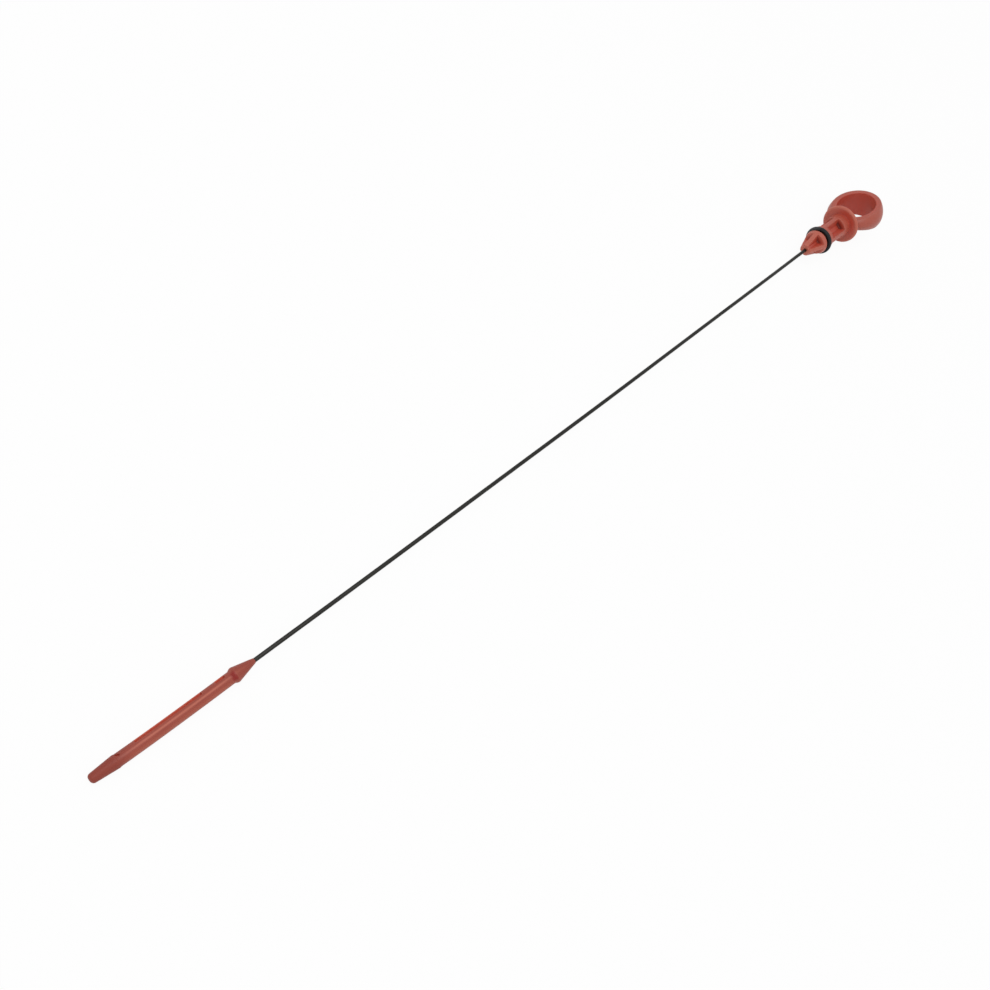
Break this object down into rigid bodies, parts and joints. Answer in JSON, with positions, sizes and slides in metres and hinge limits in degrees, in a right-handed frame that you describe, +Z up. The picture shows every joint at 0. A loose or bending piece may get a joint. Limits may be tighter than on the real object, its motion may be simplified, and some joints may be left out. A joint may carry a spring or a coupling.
{
  "type": "engine oil dipstick",
  "caption": "Engine oil dipstick with a moulded finger-ring handle, flanged ribbed plug with a rubber seal, long thin steel wire and a moulded level gauge at the end.",
  "frame": {"origin": "middle of the bottom of the part as it lies at rest", "axes": "+X along the stick from the level gauge to the handle, +Z up as it lies, with the finger ring leaning over onto its +Y edge"},
  "size_m": [0.5376, 0.0296, 0.0234],
  "materials": {
    "handle_plastic": "red moulded plastic, slightly faded, satin",
    "seal_rubber": "black rubber",
    "wire_steel": "dark drawn steel wire with an oily film",
    "gauge_plastic": "brownish red moulded plastic stained by oil, satin"
  },
  "bodies": {
    "root": {"pull_handle": "handle_plastic", "o_ring_seal": "seal_rubber", "gauge_wire": "wire_steel", "level_gauge": "gauge_plastic"}
  },
  "joints": []
}
